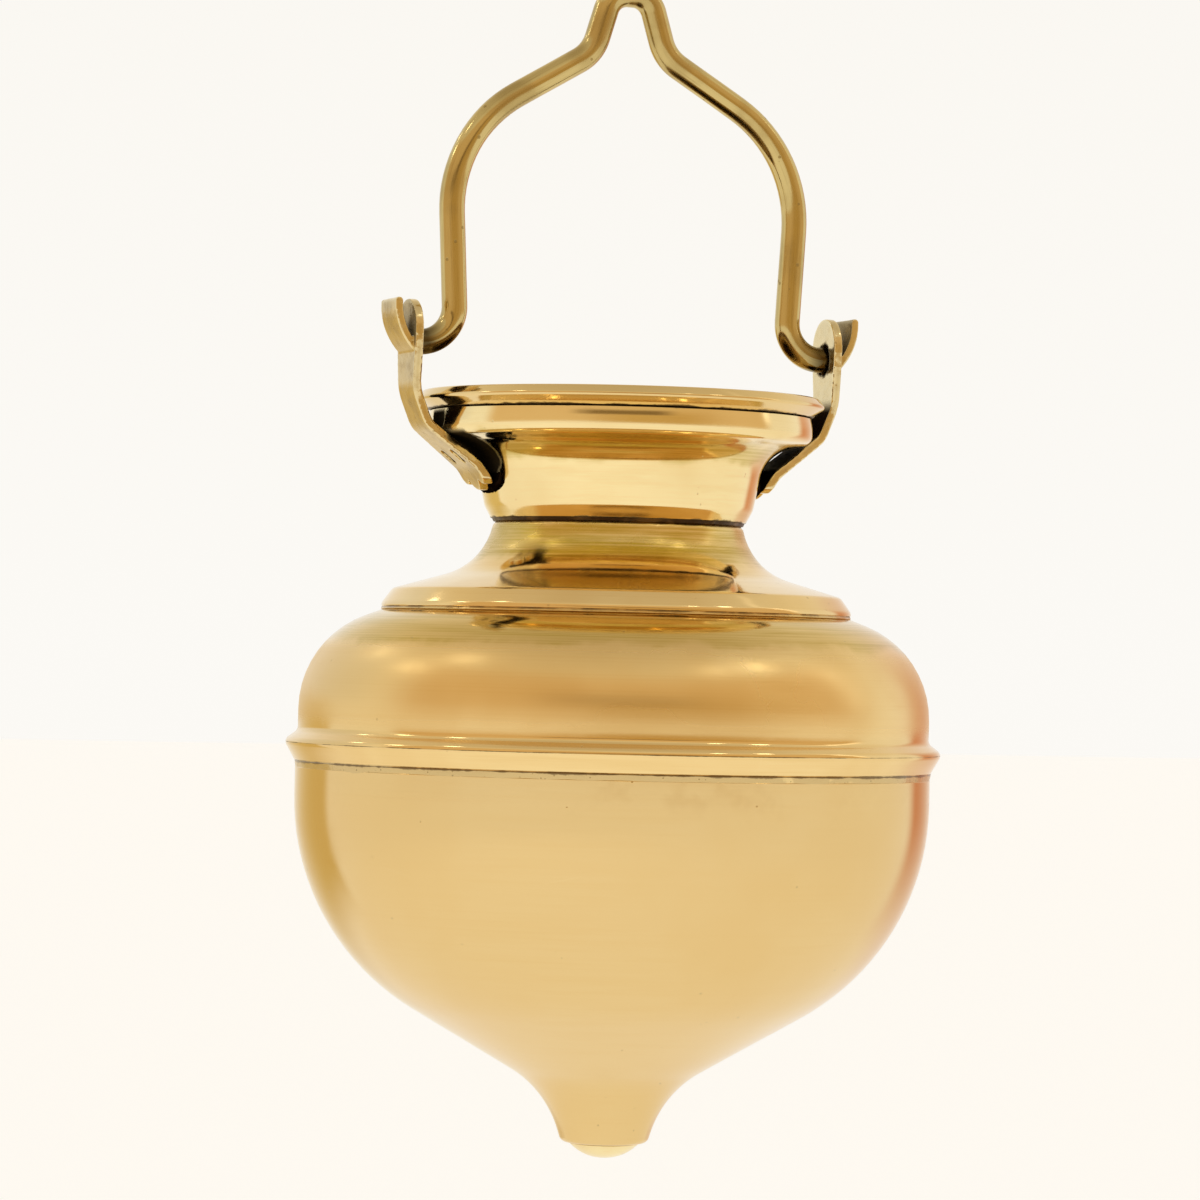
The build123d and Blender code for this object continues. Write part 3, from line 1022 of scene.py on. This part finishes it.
@dataclass(frozen=True)
class Vessel:
    """The spun body: rim ring, collar, neck, shoulder dome, lower bowl and drip tip, with their seams."""

    levels: Levels = Levels()
    rim: BentLine = BentLine(
        (
            (35.0, -81.3), (36.3, -81.3), (36.3, -79.8), (37.5, -79.8), (40.1, -77.9), (38.8, -76.1),
            (35.0, -76.1),
        ),
        (0.1, 0.1, 0.1, 0.5, 0.6, 0.9, 0.5), closed=True, stride=0.8,
    )
    collar: BentLine = BentLine(
        ((37.35, -79.9), (37.72, -82.2), (37.5, -84.8), (28.6, -86.9), (26.3, -98.2), (24.9, -100.8)),
        (9.0, 1.9, 8.0, 4.0), stride=0.8,
    )
    neck: BentLine = BentLine(
        (
            (23.6, -96.8), (23.6, -100.9), (24.5, -102.0), (26.2, -109.7), (43.8, -114.8), (45.9, -117.7),
            (45.9, -118.5),
        ),
        (SHARP, SHARP, 13.0, 1.5, 1.5), stride=1.2,
    )
    dome: BentLine = BentLine(
        ((42.0, -117.57), (61.6, -125.02), (61.6, -142.8), (64.3, -144.8), (62.1, -148.7)),
        (19.6, 1.5, 1.3), stride=1.6,
    )
    bowl: BentLine = BentLine(
        (
            (60.8, -144.7), (60.8, -148.8), (62.0, -150.0), (62.0, -182.7), (11.6, -212.1), (8.5, -222.1),
            (5.0, -222.1),
        ),
        (SHARP, SHARP, 47.8, 21.0, 1.5), stride=1.6, arc_step=math.radians(3),
    )
    tip: BentLine = BentLine(
        ((1.0, -225.1), (1.0, -220.9), (4.9, -220.9), (4.9, -222.2), (6.9, -222.2), (4.48, -224.72)),
        (0.2, SHARP, SHARP, SHARP, 0.1, 9.6), closed=True, stride=0.6,
    )
    waist_seam: BentLine = BentLine(
        ((23.65, -100.0), (24.7, -100.7), (24.6, -100.9), (24.4, -101.3), (23.65, -101.3)),
        (SHARP, 0.1, 0.1, SHARP, SHARP), closed=True, stride=0.4,
    )
    ledge_seam: BentLine = BentLine(
        ((44.8, -118.4), (45.75, -118.4), (45.95, -118.9), (44.8, -119.3)),
        (SHARP, 0.1, 0.1, SHARP), closed=True, stride=0.4,
    )
    body_seam: BentLine = BentLine(
        ((60.9, -147.9), (61.95, -147.9), (62.09, -148.85), (61.85, -150.4), (61.2, -150.2)),
        (SHARP, 0.1, 0.1, 0.1, SHARP), closed=True, stride=0.4,
    )
    tip_seam: BentLine = BentLine(
        ((4.1, -220.9), (5.7, -220.9), (4.95, -220.1)), (SHARP, SHARP, SHARP), closed=True, stride=0.4
    )

    def parts(self) -> list[SpunPart | SolderRing]:
        """The vessel's pieces from the mouth down, each with its finish.

        Returns:
            The pieces.
        """
        levels = self.levels
        inside = SpunBrass(
            "inside_brass", face=(0.50, 0.36, 0.16, 1.0), shade=(0.30, 0.19, 0.08, 1.0), roughness=0.34
        )
        lip = SpunBrass(
            "lip_brass", face=(0.80, 0.61, 0.29, 1.0), patch=0.35, dark_lines=((levels.ring_seat, 0.3),)
        )
        throat = SpunBrass(
            "throat_brass", face=(0.93, 0.76, 0.40, 1.0), patch=0.35,
            dark_lines=((levels.ring_seat, 0.3), (levels.waist, 0.4)),
            # Painted shade on the collar behind each ear.
            behind_ears=((17.0, levels.roll + 0.9, -95.5), (7.0, levels.ring_seat, levels.roll - 1.2)),
            # Painted reflection: deeper gold bands under the roll and at the waist.
            reflection_bands=((-85.6, -89.5, 0.8), (-99.6, -100.8, 0.3)),
        )
        shoulder = SpunBrass(
            "shoulder_brass", face=(0.88, 0.67, 0.33, 1.0), line_depth=0.8e-6, line_colour=0.2, patch=0.4,
            dark_lines=((levels.waist, 0.6), (levels.ledge_foot, 0.16)),
            # Painted reflection: a deeper gold band on the neck.
            reflection_bands=((-101.5, -109.0, 1.0),), satin=(-100.5, -107.5, 0.16),
        )
        dome = SpunBrass(
            "dome_brass", face=(0.87, 0.655, 0.31, 1.0), roughness=0.075, line_depth=0.7e-6,
            # Dark lines at the body seam and just under the ridge.
            line_colour=0.18, pit_share=0.01, dark_lines=((levels.seam, 0.1), (levels.ridge - 0.3, 0.07)),
            # Painted reflection: a deeper gold band under the ledge, where the neck is mirrored.
            reflection_bands=((levels.ledge_foot + 1.0, -125.0, 0.8),), satin=(-125.5, -141.0, 0.19),
        )
        bowl = SpunBrass("bowl_brass", face=(0.77, 0.565, 0.262, 1.0), patch=0.22, pit_share=0.01)
        tip = SpunBrass("tip_brass", face=(0.93, 0.80, 0.45, 1.0), roughness=0.16, pit_share=0.05)
        solder = SeamSolder("seam_solder")
        ledge_solder = SeamSolder(
            "ledge_solder_finish", dark=(0.27, 0.16, 0.055, 1.0), light=(0.74, 0.53, 0.22, 1.0),
            everywhere=0.85, roughness=0.24, grain_depth=0.02e-3, line=(levels.ledge_foot - 0.05, 0.2),
        )
        body_solder = SeamSolder(
            "body_solder_finish", dark=(0.17, 0.105, 0.045, 1.0), light=(0.80, 0.60, 0.28, 1.0),
            bare=1.0, everywhere=0.75, roughness=0.22, grain_depth=0.03e-3, line=(levels.seam - 0.1, 0.3),
        )
        return [
            SpunPart("rim_ring", self.rim, lip, inside, work=HandWork(0.04 * MM, 1.3, 40.0, 1.0)),
            SpunPart("collar", self.collar, throat, inside, work=HandWork(0.04 * MM, 1.3, 40.0, 2.0)),
            SpunPart("neck", self.neck, shoulder, inside, work=HandWork(0.05 * MM, 1.5, 50.0, 3.0)),
            SpunPart("shoulder_dome", self.dome, dome, inside, work=HandWork(0.07 * MM, 1.7, 50.0, 4.0)),
            SpunPart("lower_bowl", self.bowl, bowl, inside, work=HandWork(0.08 * MM, 1.7, 45.0, 5.0)),
            SpunPart("drip_tip", self.tip, tip, inside, work=HandWork(0.04 * MM, 2.0, 200.0, 6.0)),
            SolderRing("waist_solder", self.waist_seam, solder),
            SolderRing("ledge_solder", self.ledge_seam, ledge_solder),
            SolderRing("body_solder", self.body_seam, body_solder),
            SolderRing("tip_solder", self.tip_seam, solder),
        ]

    def build(self) -> list[bpy.types.Object]:
        """Build and dress every piece.

        Returns:
            The pieces.
        """
        made = []
        for part in self.parts():
            piece = part.build()
            part.dress(piece)
            made.append(piece)
        return made


@dataclass(frozen=True)
class Bail:
    """The bent-rod bail with its hanging notch."""

    rod: float = 5.0
    ease: float = 0.4
    right_half: tuple[tuple[float, float], ...] = (
        (4.0, 2.5), (7.6, -9.4), (36.6, -26.6), (34.4, -67.4), (43.5, -67.4)
    )
    bends: tuple[float, ...] = (4.6, 8.3, 26.0, 7.0)

    def build(self) -> bpy.types.Object:
        """Sweep the rod along its bends.

        Returns:
            The piece.
        """
        left_half = tuple((-across, height) for across, height in reversed(self.right_half))
        bends = (*reversed(self.bends), *self.bends)
        route = BentLine(left_half + self.right_half, bends, arc_step=math.radians(4), stride=1.5)
        mesh = rod_mesh("bent_bail", route.points(), self.rod / 2 * MM, self.ease * MM)
        return stand_in(mesh, "bail", Body.BAIL, "rod_brass")

    def dress(self, piece: bpy.types.Object) -> None:
        """Give the bail its finish."""
        piece.data.materials.append(RodBrass("rod_brass_finish").material())


@dataclass(frozen=True)
class Ears:
    """The two cast ears with their brazing."""

    grain: float = 0.17
    softening: int = 11
    skin: float = 0.02
    inner_face: float = 42.7
    braze_grain: float = 0.2
    braze_skin: float = 0.12

    def build(self, nodes: dict[str, bpy.types.Object]) -> list[bpy.types.Object]:
        """Cast both ears and their brazes from the model's nodes.

        Args:
            nodes: The model's nodes by name.

        Returns:
            The pieces.
        """
        cast = CastBrass("cast_brass_finish").material()
        # The braze is a dark joint, made near-black with a dark rim tint as painted shade behind the ear.
        braze = SeamSolder(
            "braze_solder", dark=(0.012, 0.007, 0.004, 1.0), bare=0.06,
            rim_tint=(0.02, 0.012, 0.006, 1.0), roughness=0.55,
        ).material()
        made = []
        for side in ("left_ear", "right_ear"):
            face = self.inner_face
            made.append(self._cast(side, nodes, self.grain, self.skin, "cast_brass", cast, face))
            shape = (self.braze_grain, self.braze_skin, "solder", braze)
            made.append(self._cast(side + "_braze", nodes, *shape))
        return made

    def _cast(
        self, node: str, nodes: dict[str, bpy.types.Object], grain: float, skin: float, slot: str,
        finish: bpy.types.Material, inner_face: float | None = None,
    ) -> bpy.types.Object:
        """One cast piece in place of its node.

        Args:
            node: The node that it replaces.
            nodes: The model's nodes by name.
            grain: The grain of its mesh, in millimetres.
            skin: How uneven its skin is, in millimetres.
            slot: The name of a material slot, handed to stand_in.
            finish: Its material.
            inner_face: Where an ear's inner face lies, in millimetres.

        Returns:
            The piece.
        """
        face = inner_face * MM if inner_face else None
        mesh = cast_mesh("cast_" + node, nodes[node], grain * MM, self.softening, skin * MM, face)
        mesh.materials.append(finish)
        return stand_in(mesh, node, Body.VESSEL, slot)


@dataclass(frozen=True)
class Softbox:
    """One lamp: where it stands, its size, how bright its face is and whether the metal mirrors it.

    Its turn is degrees round the vessel from the camera's side, positive to the camera's right.
    """

    name: str
    turn: float
    rise: float
    size: float
    glow: float
    mirrored: bool = True
    reach: float = 1.7
    tint: tuple[float, float, float] = (1.0, 0.97, 0.92)

    def build(self, front: float) -> None:
        """Put up the lamp facing the middle of the set.

        Args:
            front: The angle of the camera's side of the set, in degrees.
        """
        outward = spoke(front + self.turn, self.rise)
        lamp = bpy.data.lights.new(self.name, "AREA")
        lamp.shape = "DISK"
        lamp.size = self.size
        face_area = math.pi * self.size**2 / 4
        lamp.energy = self.glow * math.pi * face_area
        lamp.color = self.tint
        holder = bpy.data.objects.new(self.name, lamp)
        bpy.context.scene.collection.objects.link(holder)
        holder.location = SET_CENTRE + outward * self.reach
        holder.rotation_euler = outward.to_track_quat("Z", "Y").to_euler()
        holder.visible_glossy = self.mirrored


@dataclass(frozen=True)
class Card:
    """A curved card round the set that the metal mirrors but the camera doesn't see.

    Turns are degrees round the vessel from the camera's side, positive to the camera's right, and the fades
    are the shares of the card over which it appears at its start, its end, its foot and its top.
    """

    name: str
    start_turn: float
    end_turn: float
    low_rise: float
    high_rise: float
    tint: Colour
    fades: tuple[float, float, float, float] = (0.1, 0.1, 0.1, 0.1)
    reach: float = 1.9
    steps: int = 24

    def build(self, front: float) -> bpy.types.Object:
        """Stand the card up.

        Args:
            front: The angle of the camera's side of the set, in degrees.

        Returns:
            The card.
        """
        verts, shares, faces = [], [], []
        for i in range(self.steps + 1):
            along = i / self.steps
            for j in range(self.steps + 1):
                up = j / self.steps
                turn = self.start_turn + (self.end_turn - self.start_turn) * along
                rise = self.low_rise + (self.high_rise - self.low_rise) * up
                verts.append(SET_CENTRE + spoke(front + turn, rise) * self.reach)
                shares.extend((along, up, 0.0))
        row = self.steps + 1
        for i in range(self.steps):
            for j in range(self.steps):
                here = i * row + j
                faces.append((here, here + row, here + row + 1, here + 1))
        mesh = bpy.data.meshes.new(self.name)
        mesh.from_pydata(verts, [], faces)
        attribute = mesh.attributes.new("share", "FLOAT_VECTOR", "POINT")
        attribute.data.foreach_set("vector", shares)
        mesh.materials.append(self._paint())
        card = add_piece(self.name, mesh)
        card.visible_camera = False
        card.visible_shadow = False
        card.visible_diffuse = False
        card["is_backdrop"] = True
        return card

    def _paint(self) -> bpy.types.Material:
        """The card's plain colour, which fades out towards its edges.

        Returns:
            The material.
        """
        made = bpy.data.materials.new(self.name)
        made.use_nodes = True
        tree = made.node_tree
        graph = Graph(tree)
        tree.nodes.remove(tree.nodes["Principled BSDF"])
        along, up, _ = graph.axes(graph.read("ShaderNodeAttribute", "Vector", attribute_name="share"))
        cover: Value = 1.0
        for inset, fade in zip((along, 1.0 - along, up, 1.0 - up), self.fades):
            cover = cover * inset.spread(0.0, fade)
        glow = graph.read("ShaderNodeEmission", 0, {"Color": self.tint})
        clear = graph.read("ShaderNodeBsdfTransparent", 0)
        shown = graph.read("ShaderNodeMixShader", 0, {0: cover, 1: clear, 2: glow})
        graph.feed(tree.nodes["Material Output"].inputs["Surface"], shown)
        return made


@dataclass(frozen=True)
class Studio:
    """A plain pale floor and backdrop with soft light."""

    floor_level: float = -0.75
    floor_span: float = 60.0
    floor_tint: Colour = (0.88, 0.85, 0.80, 1.0)
    plain_light: Colour = (0.72, 0.70, 0.66, 1.0)
    stops: tuple[tuple[float, Colour], ...] = (
        (-1.0, (0.95, 0.92, 0.86, 1.0)),
        (0.0, (0.97, 0.95, 0.91, 1.0)),
        (0.3, (0.95, 0.92, 0.86, 1.0)),
        (0.6, (0.88, 0.80, 0.65, 1.0)),
        (1.0, (0.62, 0.54, 0.42, 1.0)),
    )
    floor_glow: float = 0.355
    camera_side: float = -110.5
    lamps: tuple[Softbox, ...] = (
        Softbox("key_softbox", -28.5, 36.0, 0.9, 2.0, mirrored=False, reach=2.4),
        Softbox("glint_lamp_one", 48.0, 50.0, 0.12, 4.6),
        Softbox("glint_lamp_two", 72.0, 50.0, 0.15, 4.6),
        Softbox("glint_lamp_three", 98.0, 35.0, 0.12, 4.6),
        Softbox("glint_lamp_four", -77.0, 50.0, 0.15, 4.6),
        Softbox("glint_lamp_five", -92.0, 35.0, 0.15, 4.6),
        Softbox("glint_lamp_six", -121.0, 35.0, 0.12, 4.6),
    )
    cards: tuple[Card, ...] = (
        Card("front_card", -90.0, 104.0, -1.0, 44.0, (0.76, 0.56, 0.33, 1.0), (0.06, 0.06, 0.05, 0.1)),
        Card("brown_card", -34.0, 78.0, -1.3, 27.0, (0.60, 0.40, 0.16, 1.0), (0.4, 0.4, 0.02, 0.5), 1.85),
        Card("rim_strip", -34.0, 38.0, 14.5, 21.0, (0.22, 0.14, 0.06, 1.0), (0.25, 0.25, 0.25, 0.25), 1.8),
        Card("right_strip", 94.0, 102.0, 0.0, 62.0, (1.5, 1.4, 1.25, 1.0), (0.5, 0.5, 0.3, 0.5), 1.7),
        Card("left_card", -178.0, -120.0, -30.0, 6.0, (0.74, 0.58, 0.26, 1.0), (0.75, 0.08, 0.4, 0.2), 1.2),
        Card("left_pale_card", -160.0, -96.0, 2.0, 46.0, (0.84, 0.83, 0.80, 1.0), (0.4, 0.2, 0.1, 0.4)),
        Card("right_card", 130.0, 180.0, -30.0, 34.0, (0.70, 0.33, 0.19, 1.0), (0.2, 0.85, 0.45, 0.5), 1.2),
    )

    def build(self) -> None:
        """Put up floor, backdrop, lamps and cards."""
        self._sky()
        self._floor()
        for stage in (*self.lamps, *self.cards):
            stage.build(self.camera_side)

    def _sky(self) -> None:
        """The backdrop: a pale sweep that gets browner overhead, with plain light for what isn't mirrored."""
        world = bpy.data.worlds.new("studio")
        bpy.context.scene.world = world
        world.use_nodes = True
        graph = Graph(world.node_tree)
        height = graph.axes(graph.read("ShaderNodeTexCoord", "Generated"))[2]
        ramp = graph.node("ShaderNodeValToRGB", {0: height * 0.5 + 0.5})
        elements = ramp.color_ramp.elements
        while len(elements) < len(self.stops):
            elements.new(0.5)
        for element, (level, tint) in zip(elements, self.stops):
            element.position = level / 2 + 0.5
            element.color = tint
        shown = graph.blend(self._seen(graph), self.plain_light, Flow(graph, ramp.outputs[0]))
        graph.feed(world.node_tree.nodes["Background"].inputs["Color"], shown)

    def _seen(self, graph: Graph) -> Flow:
        """1 where the camera looks, straight, in the metal or through something clear."""
        kinds = ("Is Camera Ray", "Is Glossy Ray", "Is Transmission Ray")
        camera, glossy, clear = (graph.read("ShaderNodeLightPath", kind) for kind in kinds)
        return graph.most(graph.most(camera, glossy), clear)

    def _floor(self) -> None:
        """The floor, as pale as the backdrop where the camera or the metal sees it."""
        reach = self.floor_span / 2
        mesh = bpy.data.meshes.new("floor")
        corners = [(x * reach, y * reach, self.floor_level) for x, y in ((-1, -1), (1, -1), (1, 1), (-1, 1))]
        mesh.from_pydata(corners, [], [(0, 1, 2, 3)])
        made = bpy.data.materials.new("floor")
        made.use_nodes = True
        graph = Graph(made.node_tree)
        skin = made.node_tree.nodes["Principled BSDF"]
        skin.inputs["Base Color"].default_value = self.floor_tint
        skin.inputs["Roughness"].default_value = 0.9
        skin.inputs["Specular IOR Level"].default_value = 0.1
        skin.inputs["Emission Color"].default_value = (1.0, 0.99, 0.98, 1.0)
        graph.feed(skin.inputs["Emission Strength"], self._seen(graph) * self.floor_glow)
        mesh.materials.append(made)
        add_piece("floor", mesh)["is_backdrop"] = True


@dataclass(frozen=True)
class PhotoCamera:
    """The camera where the photograph was taken from, on a frame of 1200 by 1200."""

    distance: float = 0.951
    turn: float = math.radians(20.5)
    height: float = -0.1273
    roll: float = 0.0233
    focal: float = 4860.0
    frame: float = 1200.0
    level_point: tuple[float, float] = (615.0, 657.0)

    def build(self) -> bpy.types.Object:
        """Stand the camera up and make it the scene's camera.

        Returns:
            The camera.
        """
        ahead = Vector((math.sin(self.turn), math.cos(self.turn), 0.0))
        side = Vector((math.cos(self.turn), -math.sin(self.turn), 0.0))
        rightward = side * math.cos(self.roll) + Vector((0, 0, 1)) * math.sin(self.roll)
        upward = rightward.cross(ahead)
        across = (self.level_point[0] - self.frame / 2) / self.focal
        rise = (self.frame / 2 - self.level_point[1]) / self.focal
        aim = (ahead - rightward * across - upward * rise).normalized()
        rightward = (rightward - aim * rightward.dot(aim)).normalized()
        upward = rightward.cross(aim)
        lens = bpy.data.cameras.new("photo_camera")
        lens.sensor_width = 36.0
        lens.sensor_fit = "HORIZONTAL"
        lens.lens = lens.sensor_width * self.focal / self.frame
        lens.clip_start = 0.05
        lens.clip_end = 200.0
        camera = bpy.data.objects.new("photo_camera", lens)
        bpy.context.scene.collection.objects.link(camera)
        axes = Matrix((rightward, upward, -aim)).transposed().to_4x4()
        stand = Vector((-ahead.x * self.distance, -ahead.y * self.distance, self.height))
        camera.matrix_world = Matrix.Translation(stand) @ axes
        bpy.context.scene.camera = camera
        return camera


def main() -> None:
    """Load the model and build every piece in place."""
    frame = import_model()
    model_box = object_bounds()
    PhotoCamera().build()
    for piece in Vessel().build():
        log.info("vessel piece %s", piece.name)
    bail = Bail()
    bent = bail.build()
    bail.dress(bent)
    log.info("bail piece %s", bent.name)
    for piece in Ears().build(frame["nodes"]):
        log.info("ear piece %s", piece.name)
    Studio().build()
    bpy.context.scene.view_settings.view_transform = "Standard"
    bpy.context.view_layer.update()
    boxes = {"model": model_box, "visual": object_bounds()}
    boxes = {name: [list(corner) for corner in box] for name, box in boxes.items()}


if __name__ == "__main__":
    logging.basicConfig(level=logging.INFO, format="%(message)s")
    main()
